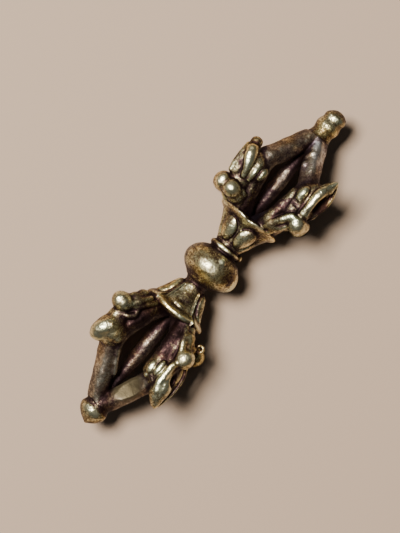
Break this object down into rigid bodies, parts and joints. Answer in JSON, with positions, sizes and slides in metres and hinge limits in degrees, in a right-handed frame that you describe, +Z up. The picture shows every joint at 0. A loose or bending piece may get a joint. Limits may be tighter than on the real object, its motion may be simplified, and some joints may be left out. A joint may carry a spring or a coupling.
{
  "type": "vajra amulet",
  "caption": "Small cast brass double-ended sceptre: a ball hub between lotus cups, each with a cage of beast-headed prongs closing on a tip.",
  "frame": {"origin": "on the surface that the amulet lies on, below the middle of the hub", "axes": "+X along the amulet towards its longer tip, +Z up from the surface"},
  "size_m": [0.062, 0.0173, 0.0151],
  "materials": {
    "brass": "old cast brass, rubbed bright on the high places",
    "patina_brass": "old cast brass under a dark purple-brown patina"
  },
  "bodies": {
    "root": {"hub_ball": "brass", "left_collar": "brass", "left_lotus_cup": "patina_brass", "left_petal_top": "brass", "left_petal_front": "brass", "left_petal_bottom": "brass", "left_petal_back": "brass", "left_centre_prong": "patina_brass", "left_tip": "brass", "left_prong_upper_back": "patina_brass", "left_makara_upper_back": "brass", "left_prong_upper_front": "patina_brass", "left_makara_upper_front": "brass", "left_prong_lower_front": "patina_brass", "left_makara_lower_front": "brass", "left_prong_lower_back": "patina_brass", "left_makara_lower_back": "brass", "right_collar": "brass", "right_lotus_cup": "patina_brass", "right_petal_upper_back": "brass", "right_petal_upper_front": "brass", "right_petal_lower_front": "brass", "right_petal_lower_back": "brass", "right_centre_prong": "patina_brass", "right_tip": "brass", "right_prong_upper_back": "patina_brass", "right_makara_upper_back": "brass", "right_prong_upper_front": "patina_brass", "right_makara_upper_front": "brass", "right_prong_lower_front": "patina_brass", "right_makara_lower_front": "brass", "right_prong_lower_back": "patina_brass", "right_makara_lower_back": "brass"}
  },
  "joints": []
}
